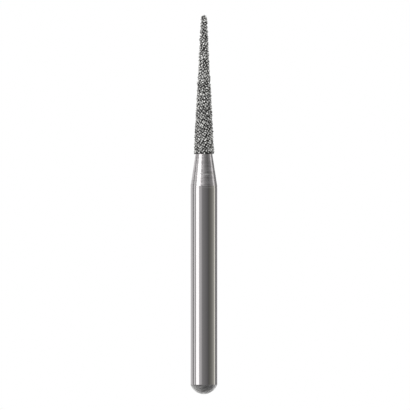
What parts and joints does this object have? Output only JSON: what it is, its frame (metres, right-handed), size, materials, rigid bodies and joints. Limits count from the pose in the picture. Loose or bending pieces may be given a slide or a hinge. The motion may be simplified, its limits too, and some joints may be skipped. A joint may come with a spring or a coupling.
{
  "type": "dental bur",
  "caption": "Friction-grip dental bur: plain steel shank with a rounded end, short tapered neck and a long slim tapered head coated in coarse diamond grit.",
  "frame": {"origin": "lowest point of the shank's rounded end, on the axis", "axes": "+Z along the axis, from the shank's rounded end to the point of the head"},
  "size_m": [0.0016, 0.0016, 0.0228],
  "materials": {
    "steel": "polished",
    "diamond_grit": "coarse diamond grains in nickel"
  },
  "bodies": {
    "root": {"steel_blank": "steel", "diamond_coating": "diamond_grit"}
  },
  "joints": []
}
